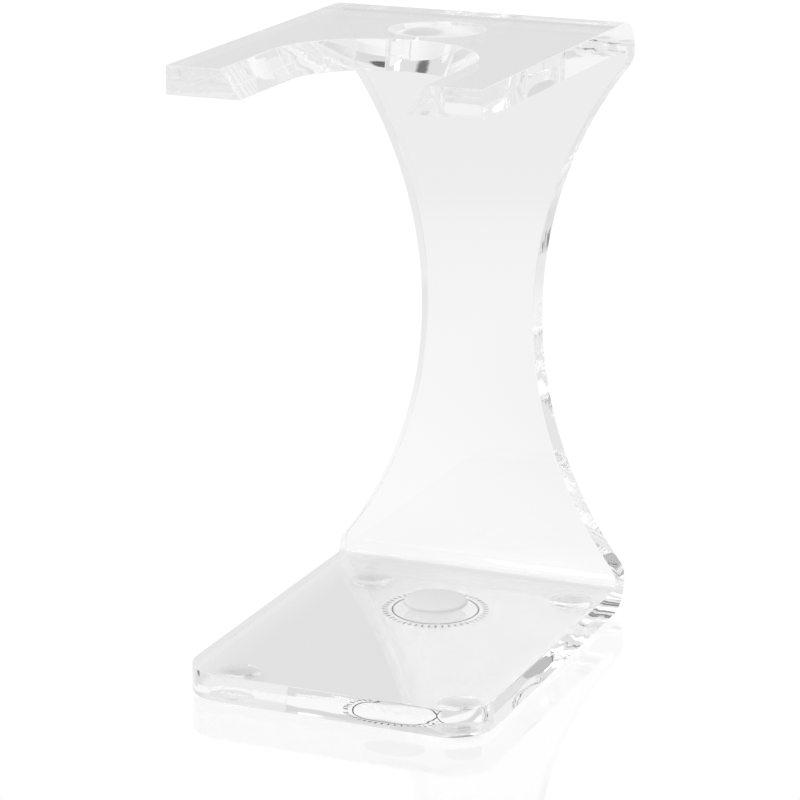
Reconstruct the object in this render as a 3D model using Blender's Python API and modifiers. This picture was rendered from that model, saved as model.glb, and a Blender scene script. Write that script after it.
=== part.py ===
"""Clear brush stand: one strip of acrylic sheet bent twice into a C, on four stick-on feet.

Metres, +Z up. The origin lies on the surface that the stand rests on, under the middle of
its footprint. The open side of the C faces -Y, and the back panel is at +Y.
"""

import math

import bmesh
import bpy
from mathutils import Matrix, Vector

# ---- the sheet and its two bends -----------------------------------------------------
SHEET = 0.006            # thickness of the sheet
WIDTH = 0.068            # width of the base and of the shelf
DEPTH = 0.090            # front edge to the back of the panel
HEIGHT = 0.1345          # underside of the base to the top of the shelf
BEND_INSIDE = 0.001      # inner radius of both bends
BEND_OUTSIDE = 0.0065    # outer radius of both bends
BASE_CORNER = 0.009      # plan radius of the base's front corners

# ---- the waist of the back panel -----------------------------------------------------
WAIST_WIDTH = 0.0268     # narrowest width, at mid height
WAIST_RADIUS = 0.0925    # radius of the curve down each side
WAIST_BLEND = 0.005      # radius that rounds the curve into the straight edges

# ---- the brush slot and the hole behind it ---------------------------------------------
SLOT_WIDTH = 0.0355      # at the underside of the shelf
SLOT_FLARE = 0.00425     # how much further out each wall stands at the top of the shelf
SLOT_CENTRE = 0.024      # front edge to the centre of the slot's round end
HOLE_DIAMETER = 0.0207
HOLE_FROM_BACK = 0.030   # back of the panel to the centre of the hole

# ---- the feet and the pad --------------------------------------------------------------
FOOT_DIAMETER = 0.0095
FOOT_HEIGHT = 0.0009
FOOT_SIDE = 0.0002       # straight side of a foot, above its dome
FOOT_TREAD = 0.0024      # diameter of the flat that meets the table
PAD_DIAMETER = 0.0142
PAD_THICKNESS = 0.0004
PAD_EDGE = 0.0001        # rounding of the pad's edges
GAP = 0.0003             # left between pieces that are stuck together

# The feet are stuck on by hand, so none of them sits quite square.
FOOT_PLACES = {
    "front_left": (-0.0235, -0.0372),
    "front_right": (0.0265, -0.0360),
    "back_left": (-0.0212, 0.0284),
    "back_right": (0.0260, 0.0320),
}

# ---- places that follow from them ------------------------------------------------------
BASE_UNDERSIDE = FOOT_HEIGHT + GAP
BASE_TOP = BASE_UNDERSIDE + SHEET
SHELF_TOP = BASE_UNDERSIDE + HEIGHT
SHELF_UNDERSIDE = SHELF_TOP - SHEET
FRONT = -DEPTH / 2
BACK = DEPTH / 2
PANEL_FRONT = BACK - SHEET
OVERCUT = 0.004          # how far an outline or a cutter reaches past the sheet
MERGE = 0.00001
QUARTER = math.pi / 2


def clear_scene():
    for obj in list(bpy.data.objects):
        bpy.data.objects.remove(obj, do_unlink=True)


def new_collection(name):
    collection = bpy.data.collections.new(name)
    bpy.context.scene.collection.children.link(collection)
    return collection


def arc(centre, radius, start, end, steps):
    """Points on an arc, from one angle to another, both ends included."""
    turn = (end - start) / steps
    return [
        (
            centre[0] + radius * math.cos(start + turn * step),
            centre[1] + radius * math.sin(start + turn * step),
        )
        for step in range(steps + 1)
    ]


def prism(name, outline, thickness, matrix, collection):
    """A flat outline as a filled curve, given a thickness and turned into a closed mesh."""
    curve = bpy.data.curves.new(name + "_outline", "CURVE")
    curve.dimensions = "2D"
    curve.fill_mode = "BOTH"
    curve.extrude = thickness / 2
    spline = curve.splines.new("POLY")
    spline.points.add(len(outline) - 1)
    for point, (u, v) in zip(spline.points, outline):
        point.co = (u, v, 0, 1)
    spline.use_cyclic_u = True
    sketch = bpy.data.objects.new(name + "_outline", curve)
    sketch.matrix_world = matrix
    collection.objects.link(sketch)
    bpy.context.view_layer.update()

    evaluated = sketch.evaluated_get(bpy.context.evaluated_depsgraph_get())
    mesh = bpy.data.meshes.new_from_object(evaluated)
    solid = bpy.data.objects.new(name, mesh)
    solid.matrix_world = sketch.matrix_world
    collection.objects.link(solid)
    bpy.data.objects.remove(sketch)
    with_bmesh(mesh, lambda bm: bmesh.ops.remove_doubles(bm, verts=bm.verts, dist=MERGE))
    return solid


def with_bmesh(mesh, edit):
    bm = bmesh.new()
    bm.from_mesh(mesh)
    edit(bm)
    bm.to_mesh(mesh)
    bm.free()


def hide_cutter(obj):
    obj.hide_render = True
    obj.display_type = "WIRE"


def cut(target, cutter, operation="DIFFERENCE"):
    """Apply one exact Boolean to the target's mesh."""
    hide_cutter(cutter)
    modifier = target.modifiers.new(cutter.name, "BOOLEAN")
    modifier.operation = operation
    modifier.solver = "EXACT"
    modifier.object = cutter
    bpy.context.view_layer.update()
    evaluated = target.evaluated_get(bpy.context.evaluated_depsgraph_get())
    mesh = bpy.data.meshes.new_from_object(evaluated)
    target.modifiers.clear()
    target.data = mesh


def side_profile():
    """The C in the YZ plane, from the base's front edge round to the shelf's."""
    outer = BEND_OUTSIDE
    inner = BEND_INSIDE
    bends = 10
    points = [(FRONT, BASE_UNDERSIDE)]
    points += arc((BACK - outer, BASE_UNDERSIDE + outer), outer, -QUARTER, 0, bends)
    points += arc((BACK - outer, SHELF_TOP - outer), outer, 0, QUARTER, bends)
    points += [(FRONT, SHELF_TOP), (FRONT, SHELF_UNDERSIDE)]
    points += arc((PANEL_FRONT - inner, SHELF_UNDERSIDE - inner), inner, QUARTER, 0, bends // 2)
    points += arc((PANEL_FRONT - inner, BASE_TOP + inner), inner, 0, -QUARTER, bends // 2)
    points += [(FRONT, BASE_TOP)]
    return points


def waist_edge():
    """The right-hand edge in the XZ plane, bottom to top, with the waist cut into it."""
    middle = (BASE_UNDERSIDE + SHELF_TOP) / 2
    centre = WAIST_WIDTH / 2 + WAIST_RADIUS
    across = centre - WIDTH / 2 + WAIST_BLEND
    rise = math.sqrt((WAIST_RADIUS + WAIST_BLEND) ** 2 - across ** 2)
    sweep = math.atan2(rise, across)
    blend_x = WIDTH / 2 - WAIST_BLEND
    edge = [(WIDTH / 2, BASE_UNDERSIDE - OVERCUT)]
    edge += arc((blend_x, middle - rise), WAIST_BLEND, 0, sweep, 8)
    edge += arc((centre, middle), WAIST_RADIUS, math.pi + sweep, math.pi - sweep, 40)[1:-1]
    edge += arc((blend_x, middle + rise), WAIST_BLEND, -sweep, 0, 8)
    edge += [(WIDTH / 2, SHELF_TOP + OVERCUT)]
    return edge


def front_outline():
    right = waist_edge()
    left = [(-x, z) for x, z in reversed(right)]
    return right + left


def round_base_corners(body):
    """Round the two upright edges at the front of the base."""

    def bevel(bm):
        corners = [
            edge
            for edge in bm.edges
            if all(v.co.y < FRONT + MERGE and v.co.z < BASE_TOP + MERGE for v in edge.verts)
            and abs(edge.verts[0].co.z - edge.verts[1].co.z) > SHEET / 2
        ]
        bmesh.ops.bevel(
            bm,
            geom=corners,
            offset=BASE_CORNER,
            offset_type="OFFSET",
            segments=12,
            profile=0.5,
            affect="EDGES",
        )

    with_bmesh(body.data, bevel)


def slot_cutter(collection):
    """The slot's outline at the bottom, with its top pushed out so that the walls lean back."""
    slope = SLOT_FLARE / SHEET
    half = SLOT_WIDTH / 2 - slope * OVERCUT
    thickness = SHEET + 2 * OVERCUT
    centre_y = FRONT + SLOT_CENTRE
    outline = [(half, FRONT - 4 * OVERCUT)]
    outline += arc((0, centre_y), half, 0, math.pi, 48)
    outline += [(-half, FRONT - 4 * OVERCUT)]
    middle = (SHELF_UNDERSIDE + SHELF_TOP) / 2
    cutter = prism("slot_cutter", outline, thickness, Matrix.Translation((0, 0, middle)), collection)
    widen = (half + slope * thickness) / half
    for vertex in cutter.data.vertices:
        if vertex.co.z > 0:
            past_centre = max(vertex.co.y - centre_y, 0)
            vertex.co.x *= widen
            vertex.co.y += past_centre * (widen - 1)
    return cutter


def hole_cutter(collection):
    mesh = bpy.data.meshes.new("hole_cutter")

    def cylinder(bm):
        bmesh.ops.create_cone(
            bm,
            cap_ends=True,
            segments=64,
            radius1=HOLE_DIAMETER / 2,
            radius2=HOLE_DIAMETER / 2,
            depth=SHEET + 2 * OVERCUT,
        )

    with_bmesh(mesh, cylinder)
    cutter = bpy.data.objects.new("hole_cutter", mesh)
    cutter.location = (0, BACK - HOLE_FROM_BACK, (SHELF_UNDERSIDE + SHELF_TOP) / 2)
    collection.objects.link(cutter)
    return cutter


def make_body(parts, cutters):
    """The bent sheet: its side profile, kept only where its front outline covers it."""
    along_x = Matrix(((0, 0, 1), (1, 0, 0), (0, 1, 0))).to_4x4()
    along_y = Matrix(((1, 0, 0), (0, 0, -1), (0, 1, 0))).to_4x4()
    body = prism("stand_body", side_profile(), WIDTH + 2 * OVERCUT, along_x, parts)
    outline = prism("waist_cutter", front_outline(), DEPTH + 2 * OVERCUT, along_y, cutters)
    body.data.transform(body.matrix_world)
    body.matrix_world = Matrix.Identity(4)
    cut(body, outline, "INTERSECT")
    round_base_corners(body)
    cut(body, slot_cutter(cutters))
    cut(body, hole_cutter(cutters))
    return body


def turned(name, profile, collection):
    """A solid of revolution about Z from a profile that runs from top to bottom."""
    mesh = bpy.data.meshes.new(name)
    mesh.from_pydata([(x, 0, z) for x, z in profile], [(i, i + 1) for i in range(len(profile) - 1)], [])
    obj = bpy.data.objects.new(name, mesh)
    screw = obj.modifiers.new("turn", "SCREW")
    screw.steps = 48
    screw.render_steps = 48
    screw.use_merge_vertices = True
    screw.merge_threshold = MERGE
    collection.objects.link(obj)
    return obj


def foot_profile():
    """Flat on top, a short straight side, then a round dome down to the tread."""
    radius = FOOT_DIAMETER / 2
    tread = FOOT_TREAD / 2
    rim = FOOT_HEIGHT - FOOT_SIDE
    dome_radius = dome_radius_between(radius, tread, rim)
    centre = math.sqrt(dome_radius ** 2 - tread ** 2)
    start = -math.acos(radius / dome_radius)
    end = -math.acos(tread / dome_radius)
    dome = arc((0, centre), dome_radius, start, end, 8)
    return [(0, FOOT_HEIGHT), (radius, FOOT_HEIGHT)] + dome + [(0, 0)]


def dome_radius_between(wide, narrow, rise):
    """The radius of a ball centred on the Z axis that is narrow at z = 0 and wide at z = rise."""
    centre = (wide ** 2 - narrow ** 2 + rise ** 2) / (2 * rise)
    return math.sqrt(centre ** 2 + narrow ** 2)


def make_feet(parts):
    feet = []
    for place, (x, y) in FOOT_PLACES.items():
        foot = turned("foot_" + place, foot_profile(), parts)
        foot.location = (x, y, 0)
        feet.append(foot)
    return feet


def make_pad(parts):
    """A thin round pad on the base, straight below the hole."""
    radius = PAD_DIAMETER / 2
    top = arc((radius - PAD_EDGE, PAD_THICKNESS - PAD_EDGE), PAD_EDGE, QUARTER, 0, 3)
    bottom = arc((radius - PAD_EDGE, PAD_EDGE), PAD_EDGE, 0, -QUARTER, 3)
    pad = turned("base_pad", [(0, PAD_THICKNESS)] + top + bottom + [(0, 0)], parts)
    pad.location = (0, BACK - HOLE_FROM_BACK, BASE_TOP + GAP)
    return pad


def principled(name, colour, roughness, transmission=0.0, ior=1.5):
    material = bpy.data.materials.new(name)
    material.use_nodes = True
    shader = material.node_tree.nodes["Principled BSDF"]
    shader.inputs["Base Color"].default_value = (*colour, 1)
    shader.inputs["Roughness"].default_value = roughness
    shader.inputs["Metallic"].default_value = 0
    shader.inputs["Transmission Weight"].default_value = transmission
    shader.inputs["IOR"].default_value = ior
    return material


def shade(obj, material, smooth_angle=math.radians(30)):
    obj.data.materials.clear()
    obj.data.materials.append(material)
    obj.data.shade_smooth()
    obj.data.set_sharp_from_angle(angle=smooth_angle)


def main():
    clear_scene()
    parts = new_collection("brush_stand")
    cutters = new_collection("cutters")

    frame = bpy.data.objects.new("stand_origin", None)
    parts.objects.link(frame)

    body = make_body(parts, cutters)
    shade(body, principled("clear_acrylic", (1, 1, 1), 0.02, 1.0, 1.49))

    rubber = principled("clear_polyurethane", (0.93, 0.94, 0.95), 0.12, 1.0, 1.5)
    feet = make_feet(parts)
    for foot in feet:
        shade(foot, rubber)

    pad = make_pad(parts)
    shade(pad, principled("grey_pad", (0.62, 0.62, 0.63), 0.6))

    for piece in [body, pad] + feet:
        piece.parent = frame


if __name__ == "__main__":
    main()
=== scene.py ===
"""The looks of the clear brush stand: polished acrylic, clear bumpers, a matt pad and a printed ring."""

import math

import bmesh
import bpy
from mathutils import Matrix, Vector


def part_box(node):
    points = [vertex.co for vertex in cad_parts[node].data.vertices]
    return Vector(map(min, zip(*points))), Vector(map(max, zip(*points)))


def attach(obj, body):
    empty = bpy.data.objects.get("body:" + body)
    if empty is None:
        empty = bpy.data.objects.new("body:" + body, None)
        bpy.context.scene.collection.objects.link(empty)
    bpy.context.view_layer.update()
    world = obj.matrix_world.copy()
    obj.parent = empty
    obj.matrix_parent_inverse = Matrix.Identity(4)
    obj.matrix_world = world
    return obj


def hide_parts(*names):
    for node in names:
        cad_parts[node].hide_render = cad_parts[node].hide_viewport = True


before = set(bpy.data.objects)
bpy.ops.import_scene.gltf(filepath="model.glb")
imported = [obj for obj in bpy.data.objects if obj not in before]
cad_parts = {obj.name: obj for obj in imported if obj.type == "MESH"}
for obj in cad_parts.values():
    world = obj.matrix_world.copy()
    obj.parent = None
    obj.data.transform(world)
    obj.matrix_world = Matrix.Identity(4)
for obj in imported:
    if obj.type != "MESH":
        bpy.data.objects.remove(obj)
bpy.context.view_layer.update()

# ---- sizes of the stand, in metres -------------------------------------------------------------
BODY_LOW, BODY_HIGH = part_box("stand_body")
PAD_LOW, PAD_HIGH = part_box("base_pad")
SHEET = 0.006                     # thickness of the acrylic
BEND_INSIDE = 0.001               # radii of both bends
BEND_OUTSIDE = 0.0065
BASE_CORNER = 0.009               # radius of the base's two front corners
WAIST_WIDTH = 0.0268              # of the panel, where it is narrowest
WAIST_RADIUS = 0.0925
WAIST_BLEND = 0.005               # radius between the waist's curve and the straight side
SLOT_WIDTH = 0.0355               # at the shelf's underside
SLOT_FLARE = 0.00425              # how much further out each side of the slot is at the top
SLOT_CENTRE = 0.024               # middle of the slot's round end, from the front
HOLE_DIAMETER = 0.0207

WIDTH = BODY_HIGH.x - BODY_LOW.x
FRONT, BACK = BODY_LOW.y, BODY_HIGH.y
BASE_UNDERSIDE, SHELF_TOP = BODY_LOW.z, BODY_HIGH.z
BASE_TOP = BASE_UNDERSIDE + SHEET
SHELF_UNDERSIDE = SHELF_TOP - SHEET
SHELF_MIDDLE = (SHELF_UNDERSIDE + SHELF_TOP) / 2
MID_HEIGHT = (BASE_UNDERSIDE + SHELF_TOP) / 2
PANEL_FRONT = BACK - SHEET
BEND_START = BACK - BEND_OUTSIDE  # where the base and the shelf run into their bends
HOLE_Y = (PAD_LOW.y + PAD_HIGH.y) / 2

FEET = ("foot_front_left", "foot_front_right", "foot_back_left", "foot_back_right")
FOOT_SIDE = 0.0002                # straight side above a foot's dome
FOOT_FLAT = 0.0012                # radius of the flat it stands on
PAD_SOFT_EDGE = 0.9               # rounded share of the pad's thickness
CONTACT = 0.00002                 # how far a stuck-on piece reaches into the acrylic, so no air lies between

INK_THICKNESS = 0.00001
RING_RADIUS = 0.0096
RING_LINE = 0.00032
TICKS = 48
TICK_INSIDE = 0.0107
TICK_OUTSIDE = 0.0119
TICK_LINE = 0.0003

# ---- how finely it is modelled -----------------------------------------------------------------
EDGE_ROUNDING = 0.00025           # of every sharp edge of the sheet
EDGE_ROUNDING_STEPS = 3
SHARP_IN_SHEET = 30               # degrees between two faces that make a sharp edge
SHARP_IN_TURNED = 40
FLAT_AREA = 0.00005               # a face with more square metres than this is one of the sheet's flats
FACE_OF_SHEET = 0.9               # cosine of the angle to the thickness: less makes a cut edge
OVERCUT = 0.004                   # how far a cutter reaches past what it cuts
WAIST_CUTTER_DEPTH = 0.1          # more than the stand's depth
MERGE = 0.000001                  # points nearer than this are one
OUTER_BEND_STEPS = 96
INNER_BEND_STEPS = 32
WAIST_STEPS = 160
WAIST_BLEND_STEPS = 24
BASE_CORNER_STEPS = 32
SLOT_STEPS = 128
HOLE_STEPS = 160
TURN_STEPS = 96
DOME_STEPS = 24
PAD_EDGE_STEPS = 8
RING_STEPS = 180
FLOOR_STEPS = 96
QUARTER = math.pi / 2

# ---- finishes ----------------------------------------------------------------------------------
CLEAR = (1, 1, 1)
ACRYLIC_IOR = 1.49
BUMPER_IOR = 1.5
CUT_EDGE_ROUGHNESS = 0.03
BUMPER_ROUGHNESS = 0.08
PAD_COLOUR = (0.93, 0.93, 0.93)
PAD_ROUGHNESS = 0.6
INK_COLOUR = (0.16, 0.16, 0.17)
INK_ROUGHNESS = 0.5
EDGE_WAVES = (70, 70, 400)        # waves per metre across, along and through the sheet
EDGE_WAVE_HEIGHT = 0.00006

# ---- light, in units of the white background ---------------------------------------------------
# elevation in degrees, and the level there
SKY_LEVELS = (
    (-20, 0.74),
    (-2, 0.7),
    (12, 0.68),
    (19, 0.72),
    (32, 0.72),
    (55, 0.8),
    (70, 1.5),
)
# azimuth from +Y towards +X, elevation, radius and softness in degrees, and the level it adds
LAMPS = (
    (201, 24, 4, 1.5, 5.2),       # small softbox in front on the left, seen by way of the panel
    (232, 34, 14, 8, 0.7),        # its wide glow
    (25, 12, 12, 10, 0.14),       # lit backdrop, behind on the right
    (256, 52, 8, 5, -0.7),        # black flag on the left: it and the next two give the dark accents
    (350, 38, 7, 4, -0.6),        # black flag behind, above the table
    (331, 3, 4, 2, -0.62),        # black flag behind, at the height of the table
)
SKY_DARKEST = 0.05                # under the flags
MIRRORED_SKY = 1.18               # what a slightly rough face mirrors, such as the floor's or a cut edge's
DEEP_LEVEL = 0.78                 # all that a ray meets after many bounces inside the acrylic
DEEP_START = 7                    # bounces where that level begins to take over
DEEP_END = 12                     # bounces where it has
STRAY_LIGHT = 0.0107              # what each later bounce adds
MOST_BOUNCES = 96

# distance from the stand's middle in metres, and the floor's level there
FLOOR_LEVELS = (
    (0.0, 0.935),
    (0.11, 0.955),
    (0.16, 0.95),
    (0.3, 0.905),
    (0.41, 0.89),
    (0.47, 0.85),
    (2.0, 0.83),
)
FLOOR_FAR = 2.0                   # metres to the last of these
# x, y, radius and softness in metres, and the level its middle is dimmed to
FLOOR_SPOTS = (
    (0.1, 0.24, 0.08, 0.12, 0.88),
    (-0.39, 0.26, 0.17, 0.07, 0.8),
)
SHADE_LEVEL = 0.82                # painted shade on the floor under the base
SHADE_INSET = 0.009               # how far inside the base's sides its shade begins to fade
SHADE_REACH = 0.012               # and how far outside them it ends
FOOT_SHADE = (0.001, 0.006, 0.8)  # radius, softness and level of the painted shade under a foot
FLOOR_RADIUS = 6
FLOOR_WHITE = 0.97                # seen by the camera, apart from its gloss
FLOOR_ROUGHNESS = 0.03
FLOOR_IOR = 1.5

# ---- camera ------------------------------------------------------------------------------------
CAMERA_PLACE = (0.259878, -0.619266, 0.251634 + BASE_UNDERSIDE)
CAMERA_DOWN = 0.2824              # radians below the level
CAMERA_ROUND = 0.4004             # radians round to the stand's right
CAMERA_LENS = 146.82              # millimetres
CAMERA_SENSOR = 36


# ---- mesh helpers ------------------------------------------------------------------------------
def link(obj):
    bpy.context.scene.collection.objects.link(obj)
    return obj


def with_bmesh(mesh, edit):
    bm = bmesh.new()
    bm.from_mesh(mesh)
    edit(bm)
    bm.to_mesh(mesh)
    bm.free()


def arc(centre, radius, start, end, steps):
    turn = (end - start) / steps
    return [
        (
            centre[0] + radius * math.cos(start + turn * step),
            centre[1] + radius * math.sin(start + turn * step),
        )
        for step in range(steps + 1)
    ]


def prism(name, outline, thickness, matrix):
    """A closed solid: an outline in the XY plane, extruded evenly about it and then moved."""
    mesh = bpy.data.meshes.new(name)

    def extrude(bm):
        low = [bm.verts.new((u, v, -thickness / 2)) for u, v in outline]
        high = [bm.verts.new((u, v, thickness / 2)) for u, v in outline]
        bm.faces.new(reversed(low))
        bm.faces.new(high)
        for i in range(len(outline)):
            j = (i + 1) % len(outline)
            bm.faces.new((low[i], low[j], high[j], high[i]))
        bmesh.ops.recalc_face_normals(bm, faces=bm.faces)

    with_bmesh(mesh, extrude)
    mesh.transform(matrix)
    return link(bpy.data.objects.new(name, mesh))


def evaluated_mesh(obj):
    bpy.context.view_layer.update()
    return bpy.data.meshes.new_from_object(obj.evaluated_get(bpy.context.evaluated_depsgraph_get()))


def cut(target, cutter, operation="DIFFERENCE"):
    modifier = target.modifiers.new("cut", "BOOLEAN")
    modifier.operation = operation
    modifier.solver = "EXACT"
    modifier.object = cutter
    mesh = evaluated_mesh(target)
    target.modifiers.clear()
    target.data = mesh
    bpy.data.objects.remove(cutter)


# ---- the bent sheet ----------------------------------------------------------------------------
def side_profile():
    """The sheet seen from its side, as (y, z)."""
    outer, inner = BEND_OUTSIDE, BEND_INSIDE
    points = [(FRONT, BASE_UNDERSIDE)]
    points += arc((BACK - outer, BASE_UNDERSIDE + outer), outer, -QUARTER, 0, OUTER_BEND_STEPS)
    points += arc((BACK - outer, SHELF_TOP - outer), outer, 0, QUARTER, OUTER_BEND_STEPS)
    points += [(FRONT, SHELF_TOP), (FRONT, SHELF_UNDERSIDE)]
    points += arc((PANEL_FRONT - inner, SHELF_UNDERSIDE - inner), inner, QUARTER, 0, INNER_BEND_STEPS)
    points += arc((PANEL_FRONT - inner, BASE_TOP + inner), inner, 0, -QUARTER, INNER_BEND_STEPS)
    points += [(FRONT, BASE_TOP)]
    return points


def waist_edge():
    """The right edge of the panel from below to above, as (x, z)."""
    centre = WAIST_WIDTH / 2 + WAIST_RADIUS
    across = centre - WIDTH / 2 + WAIST_BLEND
    rise = math.sqrt((WAIST_RADIUS + WAIST_BLEND) ** 2 - across ** 2)
    sweep = math.atan2(rise, across)
    blend_x = WIDTH / 2 - WAIST_BLEND
    edge = [(WIDTH / 2, BASE_UNDERSIDE - OVERCUT)]
    edge += arc((blend_x, MID_HEIGHT - rise), WAIST_BLEND, 0, sweep, WAIST_BLEND_STEPS)
    edge += arc((centre, MID_HEIGHT), WAIST_RADIUS, math.pi + sweep, math.pi - sweep, WAIST_STEPS)[1:-1]
    edge += arc((blend_x, MID_HEIGHT + rise), WAIST_BLEND, -sweep, 0, WAIST_BLEND_STEPS)
    edge += [(WIDTH / 2, SHELF_TOP + OVERCUT)]
    return edge


def round_base_corners(mesh):
    def bevel(bm):
        corners = [
            edge
            for edge in bm.edges
            if all(v.co.y < FRONT + MERGE and v.co.z < BASE_TOP + MERGE for v in edge.verts)
            and abs(edge.verts[0].co.z - edge.verts[1].co.z) > SHEET / 2
        ]
        bmesh.ops.bevel(
            bm,
            geom=corners,
            offset=BASE_CORNER,
            offset_type="OFFSET",
            segments=BASE_CORNER_STEPS,
            profile=0.5,
            affect="EDGES",
        )

    with_bmesh(mesh, bevel)


def slot_cutter():
    """A slot with a round end, open at the front, whose sides lean outwards as they rise."""
    slope = SLOT_FLARE / SHEET
    half = SLOT_WIDTH / 2 - slope * OVERCUT
    thickness = SHEET + 2 * OVERCUT
    centre_y = FRONT + SLOT_CENTRE
    outline = [(half, FRONT - 4 * OVERCUT)] + arc((0, centre_y), half, 0, math.pi, SLOT_STEPS)
    outline += [(-half, FRONT - 4 * OVERCUT)]
    cutter = prism("slot_cutter", outline, thickness, Matrix.Translation((0, 0, SHELF_MIDDLE)))
    widen = (half + slope * thickness) / half
    for vertex in cutter.data.vertices:
        if vertex.co.z > SHELF_MIDDLE:
            vertex.co.x *= widen
            vertex.co.y += max(vertex.co.y - centre_y, 0) * (widen - 1)
    return cutter


def hole_cutter():
    ring = arc((0, 0), HOLE_DIAMETER / 2, 0, 2 * math.pi, HOLE_STEPS)[:-1]
    return prism("hole_cutter", ring, SHEET + 2 * OVERCUT, Matrix.Translation((0, HOLE_Y, SHELF_MIDDLE)))


def make_sheet():
    along_x = Matrix(((0, 0, 1), (1, 0, 0), (0, 1, 0))).to_4x4()
    along_y = Matrix(((1, 0, 0), (0, 0, -1), (0, 1, 0))).to_4x4()
    sheet = prism("bent_sheet", side_profile(), WIDTH + 2 * OVERCUT, along_x)
    right = waist_edge()
    outline = right + [(-x, z) for x, z in reversed(right)]
    cut(sheet, prism("waist_cutter", outline, WAIST_CUTTER_DEPTH + 2 * OVERCUT, along_y), "INTERSECT")
    round_base_corners(sheet.data)
    cut(sheet, slot_cutter())
    cut(sheet, hole_cutter())
    soften_edges(sheet)
    exact_normals(sheet.data)
    mark_cut_edges(sheet.data)
    unroll(sheet.data)
    return sheet


def soften_edges(obj):
    """Round every sharp edge a little. The rounding's faces get the second material slot."""
    bevel = obj.modifiers.new("edges", "BEVEL")
    bevel.width = EDGE_ROUNDING
    bevel.segments = EDGE_ROUNDING_STEPS
    bevel.limit_method = "ANGLE"
    bevel.angle_limit = math.radians(SHARP_IN_SHEET)
    bevel.miter_outer = "MITER_SHARP"
    bevel.material = 1
    obj.data.materials.append(acrylic)
    obj.data.materials.append(cut_edge)
    obj.data = evaluated_mesh(obj)
    obj.modifiers.clear()


def exact_normals(mesh):
    """Keep the flats flat: a vertex takes the normal of a flat it touches, or else of the curved
    faces it touches, and only the vertices inside an edge's rounding take the rounding's own."""
    flat, curved, rounding = 2, 1, 0
    best = [(-1, Vector())] * len(mesh.vertices)
    for face in mesh.polygons:
        if face.material_index == 1:
            rank = rounding
        else:
            rank = flat if face.area > FLAT_AREA else curved
        for index in face.vertices:
            held, normal = best[index]
            if rank > held:
                best[index] = (rank, face.normal.copy())
            elif rank == held and rank != flat:
                best[index] = (rank, normal + face.normal)
    mesh.shade_smooth()
    mesh.normals_split_custom_set_from_vertices([normal.normalized() for _, normal in best])


def mark_cut_edges(mesh):
    """The cut outline and the walls of the slot and the hole get the second material slot. The
    sheet's own faces keep the first."""
    for face in mesh.polygons:
        if face.material_index == 1:
            continue
        if abs(face.normal.dot(through_sheet(face.center))) < FACE_OF_SHEET:
            face.material_index = 1


def through_sheet(point):
    """The direction through the sheet's thickness near a point."""
    low_bend, high_bend = BASE_UNDERSIDE + BEND_OUTSIDE, SHELF_TOP - BEND_OUTSIDE
    if point.y < BEND_START:
        return Vector((0, 0, 1))
    if low_bend < point.z < high_bend:
        return Vector((0, 1, 0))
    centre_z = low_bend if point.z < MID_HEIGHT else high_bend
    return Vector((0, point.y - BEND_START, point.z - centre_z)).normalized()


def unroll(mesh):
    """Store where each vertex lay in the flat sheet: across it, along it and through its thickness.
    The saw and the polishing left their marks along the sheet, before it was bent."""
    straight = SHELF_TOP - BASE_UNDERSIDE - 2 * BEND_OUTSIDE
    bend_length = QUARTER * (BEND_OUTSIDE + BEND_INSIDE) / 2
    flat_place = mesh.attributes.new("flat_place", "FLOAT_VECTOR", "POINT")
    for i, vertex in enumerate(mesh.vertices):
        x, y, z = vertex.co
        side = -1 if z < MID_HEIGHT else 1
        past_panel = abs(z - MID_HEIGHT) - straight / 2
        if y < BEND_START:
            along = straight / 2 + bend_length + BEND_START - y
            through = BASE_TOP - z if side < 0 else z - SHELF_UNDERSIDE
        elif past_panel < 0:
            along = abs(z - MID_HEIGHT)
            through = y - PANEL_FRONT
        else:
            along = straight / 2 + bend_length * math.atan2(past_panel, y - BEND_START) / QUARTER
            through = math.hypot(past_panel, y - BEND_START) - BEND_OUTSIDE + SHEET
        flat_place.data[i].vector = (x, side * along, through)


# ---- turned pieces -----------------------------------------------------------------------------
def turned(name, profile):
    """A solid of revolution about Z, from a profile as (radius, z)."""
    mesh = bpy.data.meshes.new(name)
    mesh.from_pydata([(x, 0, z) for x, z in profile], [(i, i + 1) for i in range(len(profile) - 1)], [])
    obj = link(bpy.data.objects.new(name, mesh))
    screw = obj.modifiers.new("turn", "SCREW")
    screw.steps = TURN_STEPS
    screw.render_steps = TURN_STEPS
    screw.use_merge_vertices = True
    screw.merge_threshold = MERGE
    obj.data = evaluated_mesh(obj)
    obj.modifiers.clear()
    obj.data.shade_smooth()
    obj.data.set_sharp_from_angle(angle=math.radians(SHARP_IN_TURNED))
    return obj


def make_foot(name):
    """A clear bumper: a thin straight side, then a round dome with a small worn flat."""
    low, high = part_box(name)
    radius = (high.x - low.x) / 2
    top = BASE_UNDERSIDE + CONTACT - low.z
    rim = high.z - low.z - FOOT_SIDE
    centre = (radius ** 2 - FOOT_FLAT ** 2 + rim ** 2) / (2 * rim)
    dome_radius = math.hypot(centre, FOOT_FLAT)
    start = -math.acos(radius / dome_radius)
    end = -math.acos(FOOT_FLAT / dome_radius)
    dome = arc((0, centre), dome_radius, start, end, DOME_STEPS)
    foot = turned(name.replace("foot", "bumper"), [(0, top), (radius, top)] + dome + [(0, 0)])
    foot.location = ((low.x + high.x) / 2, (low.y + high.y) / 2, low.z)
    return foot


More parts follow.
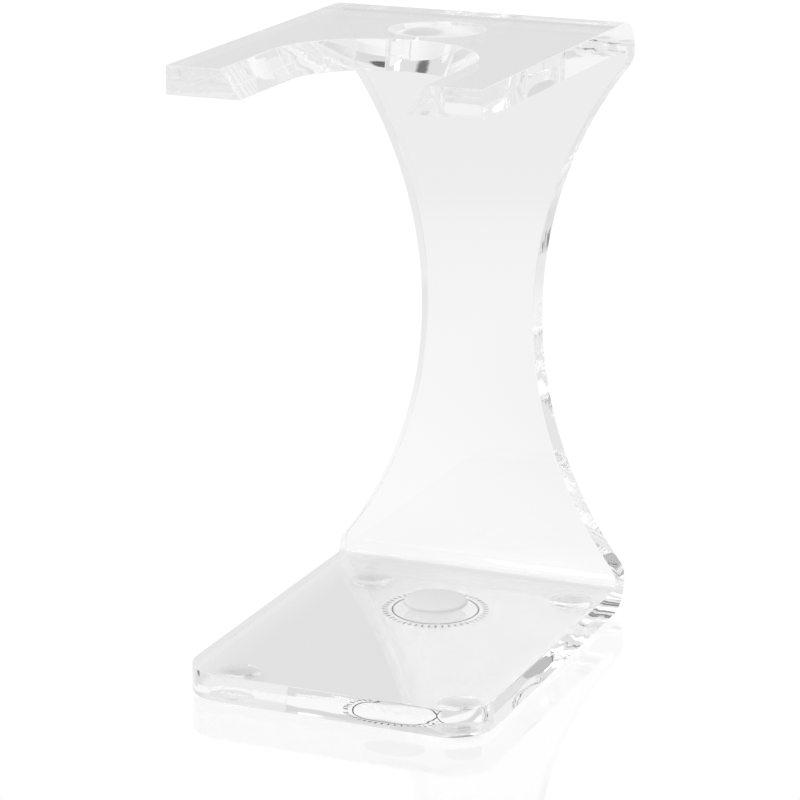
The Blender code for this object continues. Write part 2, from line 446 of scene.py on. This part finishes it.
def make_pad():
    """The thin disc on the base, with a soft upper edge. Its underside is in contact with the acrylic."""
    radius = (PAD_HIGH.x - PAD_LOW.x) / 2
    top = PAD_HIGH.z - BASE_TOP
    edge = top * PAD_SOFT_EDGE
    rim = arc((radius - edge, top - edge), edge, QUARTER, 0, PAD_EDGE_STEPS)
    pad = turned("grey_pad", [(0, top)] + rim + [(radius, -CONTACT), (0, -CONTACT)])
    pad.location = ((PAD_LOW.x + PAD_HIGH.x) / 2, HOLE_Y, BASE_TOP)
    return pad


def make_mark():
    """A plain printed ring with a ring of even ticks round it, in the face of the base's underside."""
    mesh = bpy.data.meshes.new("printed_ring")

    def band(bm, inner, outer, start, end, steps):
        low, high = CONTACT, CONTACT + INK_THICKNESS
        rows = []
        for step in range(steps + 1):
            angle = start + (end - start) * step / steps
            c, s = math.cos(angle), math.sin(angle)
            rows.append(
                [
                    bm.verts.new((radius * c, radius * s, z))
                    for radius, z in ((inner, low), (outer, low), (outer, high), (inner, high))
                ]
            )
        for first, second in zip(rows, rows[1:]):
            for i in range(4):
                j = (i + 1) % 4
                bm.faces.new((first[i], first[j], second[j], second[i]))
        bm.faces.new(rows[0][::-1])
        bm.faces.new(rows[-1])

    def rings(bm):
        band(bm, RING_RADIUS - RING_LINE / 2, RING_RADIUS + RING_LINE / 2, 0, 2 * math.pi, RING_STEPS)
        half = TICK_LINE / 2 / TICK_INSIDE
        for tick in range(TICKS):
            angle = 2 * math.pi * tick / TICKS
            band(bm, TICK_INSIDE, TICK_OUTSIDE, angle - half, angle + half, 1)
        bmesh.ops.remove_doubles(bm, verts=bm.verts, dist=MERGE)
        bmesh.ops.recalc_face_normals(bm, faces=bm.faces)

    with_bmesh(mesh, rings)
    ring = link(bpy.data.objects.new("printed_ring", mesh))
    ring.location = (0, HOLE_Y, BASE_UNDERSIDE)
    return ring


# ---- materials ---------------------------------------------------------------------------------
def node(tree, kind, operation=None, **inputs):
    """A node with its inputs set, each by its name or as i and its number: a plain value, or a
    socket to link from."""
    made = tree.nodes.new("ShaderNode" + kind)
    if operation:
        made.operation = operation
    for name, value in inputs.items():
        numbered = name[0] == "i" and name[1:].isdigit()
        socket = made.inputs[int(name[1:]) if numbered else name.replace("_", " ")]
        if isinstance(value, bpy.types.NodeSocket):
            tree.links.new(value, socket)
        else:
            socket.default_value = value
    return made


def principled(name, colour, roughness, transmission=0.0, ior=1.5):
    material = bpy.data.materials.new(name)
    material.use_nodes = True
    shader = material.node_tree.nodes["Principled BSDF"]
    shader.inputs["Base Color"].default_value = (*colour, 1)
    shader.inputs["Roughness"].default_value = roughness
    shader.inputs["Transmission Weight"].default_value = transmission
    shader.inputs["IOR"].default_value = ior
    return material


def polished_edge():
    """The cut edges: the same acrylic, left finely wavy by the saw and the polishing, in long
    streaks along the sheet."""
    material = principled("polished_edge", CLEAR, CUT_EDGE_ROUGHNESS, 1.0, ACRYLIC_IOR)
    tree = material.node_tree
    place = node(tree, "Attribute").outputs["Vector"]
    place.node.attribute_name = "flat_place"
    place = node(tree, "VectorMath", "MULTIPLY", i0=place, i1=EDGE_WAVES).outputs["Vector"]
    waves = node(tree, "TexNoise", Vector=place, Scale=1.0, Detail=1.0)
    bump = node(tree, "Bump", Strength=1.0, Distance=EDGE_WAVE_HEIGHT, Height=waves.outputs["Fac"])
    tree.links.new(bump.outputs["Normal"], tree.nodes["Principled BSDF"].inputs["Normal"])
    return material


def let_light_out(material):
    """Some light never leaves a solid as ideal as this one. Real acrylic scatters it out, so here every
    bounce after the first ones adds a little."""
    tree = material.node_tree
    depth = node(tree, "LightPath").outputs["Ray Depth"]
    late = node(tree, "Math", "GREATER_THAN", i0=depth, i1=DEEP_END).outputs["Value"]
    glow = node(tree, "Math", "MULTIPLY", i0=late, i1=STRAY_LIGHT).outputs["Value"]
    shader = tree.nodes["Principled BSDF"]
    shader.inputs["Emission Color"].default_value = (1, 1, 1, 1)
    tree.links.new(glow, shader.inputs["Emission Strength"])
    material.cycles.emission_sampling = "NONE"


def put_on(obj, material):
    obj.data.materials.clear()
    obj.data.materials.append(material)


# ---- the pieces --------------------------------------------------------------------------------
acrylic = principled("clear_acrylic", CLEAR, 0.0, 1.0, ACRYLIC_IOR)
cut_edge = polished_edge()
bumper = principled("clear_bumper", CLEAR, BUMPER_ROUGHNESS, 1.0, BUMPER_IOR)
for clear in (acrylic, cut_edge, bumper):
    let_light_out(clear)
pad_grey = principled("pad_grey", PAD_COLOUR, PAD_ROUGHNESS)
ink = principled("printed_ink", INK_COLOUR, INK_ROUGHNESS)

sheet = make_sheet()
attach(sheet, "root")
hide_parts("stand_body")

for name in FEET:
    foot = make_foot(name)
    put_on(foot, bumper)
    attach(foot, "root")
    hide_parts(name)

pad = make_pad()
put_on(pad, pad_grey)
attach(pad, "root")
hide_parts("base_pad")

mark = make_mark()
put_on(mark, ink)
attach(mark, "root")


# ---- the stage ---------------------------------------------------------------------------------
def floor_level(tree, place):
    """How bright the stand sees the floor: dimmer far away, at two spots, and with painted shade under the
    base and feet.
    """
    away = node(tree, "VectorMath", "LENGTH", i0=place).outputs["Value"]
    away = node(tree, "MapRange", Value=away, From_Max=FLOOR_FAR).outputs["Result"]
    far = node(tree, "ValToRGB", Fac=away)
    set_stops(far.color_ramp, [(distance / FLOOR_FAR, level) for distance, level in FLOOR_LEVELS])
    fade_from = (WIDTH / 2 - SHADE_INSET, BACK, 0)
    beside = node(tree, "VectorMath", "ABSOLUTE", i0=place).outputs["Vector"]
    beside = node(tree, "VectorMath", "SUBTRACT", i0=beside, i1=fade_from).outputs["Vector"]
    beside = node(tree, "VectorMath", "MAXIMUM", i0=beside, i1=(0, 0, 0)).outputs["Vector"]
    beside = node(tree, "VectorMath", "LENGTH", i0=beside).outputs["Value"]
    # painted shade under the base, fading out past its sides
    lit = soft_step(tree, beside, 0, SHADE_INSET + SHADE_REACH, SHADE_LEVEL, 1)
    spots = []
    for name in FEET:
        low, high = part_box(name)
        spots.append(((low.x + high.x) / 2, (low.y + high.y) / 2, *FOOT_SHADE))
    # painted shade under each foot, then the two dimmer spots
    for x, y, radius, softness, level in spots + list(FLOOR_SPOTS):
        near = node(tree, "VectorMath", "DISTANCE", i0=place, i1=(x, y, 0)).outputs["Value"]
        spot = soft_step(tree, near, radius, radius + softness, level, 1)
        lit = node(tree, "Math", "MULTIPLY", i0=lit, i1=spot).outputs["Value"]
    return node(tree, "Math", "MULTIPLY", i0=far.outputs["Color"], i1=lit).outputs["Value"]


def make_floor():
    """A white glossy table. The camera sees it white, with a faint mirror image of the stand."""
    mesh = bpy.data.meshes.new("floor")

    def disc(bm):
        bmesh.ops.create_circle(bm, cap_ends=True, radius=FLOOR_RADIUS, segments=FLOOR_STEPS)

    with_bmesh(mesh, disc)
    floor = link(bpy.data.objects.new("floor", mesh))
    material = bpy.data.materials.new("floor_white")
    material.use_nodes = True
    tree = material.node_tree
    tree.nodes.clear()
    path = node(tree, "LightPath")
    level = floor_level(tree, node(tree, "NewGeometry").outputs["Position"])
    emission = node(tree, "Emission", Strength=calm(tree, path, level))
    gloss = node(tree, "BsdfGlossy", Color=(1, 1, 1, 1), Roughness=FLOOR_ROUGHNESS)
    sheen = node(tree, "Fresnel", IOR=FLOOR_IOR).outputs["Fac"]
    white = node(tree, "Emission", Strength=FLOOR_WHITE)
    shiny = node(tree, "MixShader", i0=sheen, i1=white.outputs["Emission"], i2=gloss.outputs["BSDF"])
    seen = node(
        tree,
        "MixShader",
        i0=path.outputs["Is Camera Ray"],
        i1=emission.outputs["Emission"],
        i2=shiny.outputs["Shader"],
    )
    node(tree, "OutputMaterial", Surface=seen.outputs["Shader"])
    floor.data.materials.append(material)


def soft_step(tree, value, start, end, low, high):
    """low up to the start, high beyond the end, and a soft change between."""
    step = node(tree, "MapRange", Value=value, From_Min=start, From_Max=end, To_Min=low, To_Max=high)
    step.interpolation_type = "SMOOTHSTEP"
    return step.outputs["Result"]


def calm(tree, path, level):
    """Rays that have bounced many times all meet the same even level, which keeps the thick edges clean."""
    depth = soft_step(tree, path.outputs["Ray Depth"], DEEP_START, DEEP_END, 0, 1)
    return node(tree, "Mix", i0=depth, i2=level, i3=DEEP_LEVEL).outputs[0]


def set_stops(ramp, stops):
    """Grey stops of a colour ramp: a place from 0 to 1 and a level each."""
    while len(ramp.elements) > 1:
        ramp.elements.remove(ramp.elements[0])
    for i, (place, level) in enumerate(stops):
        stop = ramp.elements[0] if i == 0 else ramp.elements.new(place)
        stop.position = place
        stop.color = (level, level, level, 1)


def make_world():
    """A white studio: a sky that changes with height, and soft round lamps and flags in it."""
    world = bpy.data.worlds.new("studio")
    bpy.context.scene.world = world
    world.use_nodes = True
    tree = world.node_tree
    tree.nodes.clear()
    path = node(tree, "LightPath")
    way = node(tree, "TexCoord").outputs["Generated"]
    height = node(tree, "SeparateXYZ", Vector=way).outputs["Z"]
    height = node(tree, "MapRange", Value=height, From_Min=-1, From_Max=1).outputs["Result"]
    sky = node(tree, "ValToRGB", Fac=height)
    set_stops(sky.color_ramp, [((math.sin(math.radians(up)) + 1) / 2, level) for up, level in SKY_LEVELS])
    total = sky.outputs["Color"]
    for around, up, radius, softness, level in LAMPS:
        around, up = math.radians(around), math.radians(up)
        towards = (math.sin(around) * math.cos(up), math.cos(around) * math.cos(up), math.sin(up))
        near = node(tree, "VectorMath", "DOT_PRODUCT", i0=way, i1=towards).outputs["Value"]
        edge = math.cos(math.radians(radius + softness))
        spot = soft_step(tree, near, edge, math.cos(math.radians(radius)), 0, level)
        total = node(tree, "Math", "ADD", i0=total, i1=spot).outputs["Value"]
    # 1 for a ray that a slightly rough face has mirrored, unless it has passed through the acrylic
    mirrored, singular = path.outputs["Is Glossy Ray"], path.outputs["Is Singular Ray"]
    satin = node(tree, "Math", "SUBTRACT", i0=mirrored, i1=singular).outputs["Value"]
    satin = node(tree, "Math", "SUBTRACT", i0=satin, i1=path.outputs["Transmission Depth"]).outputs["Value"]
    satin = node(tree, "Math", "MAXIMUM", i0=satin, i1=0.0).outputs["Value"]
    total = node(tree, "Math", "MAXIMUM", i0=total, i1=SKY_DARKEST).outputs["Value"]
    total = calm(tree, path, total)
    total = node(tree, "Mix", i0=satin, i2=total, i3=MIRRORED_SKY).outputs[0]
    total = node(tree, "Mix", i0=path.outputs["Is Camera Ray"], i2=total, i3=1.0).outputs[0]
    background = node(tree, "Background", Color=(1, 1, 1, 1), Strength=total)
    node(tree, "OutputWorld", Surface=background.outputs["Background"])


def make_camera():
    data = bpy.data.cameras.new("camera")
    data.sensor_width = CAMERA_SENSOR
    data.lens = CAMERA_LENS
    data.clip_start = 0.01
    data.clip_end = 100
    camera = link(bpy.data.objects.new("camera", data))
    camera.location = CAMERA_PLACE
    camera.rotation_euler = (QUARTER - CAMERA_DOWN, 0, CAMERA_ROUND)
    bpy.context.scene.camera = camera


make_floor()
make_world()
make_camera()
scene = bpy.context.scene
scene.view_settings.view_transform = "Standard"
scene.cycles.max_bounces = MOST_BOUNCES
scene.cycles.transmission_bounces = MOST_BOUNCES
scene.cycles.glossy_bounces = MOST_BOUNCES
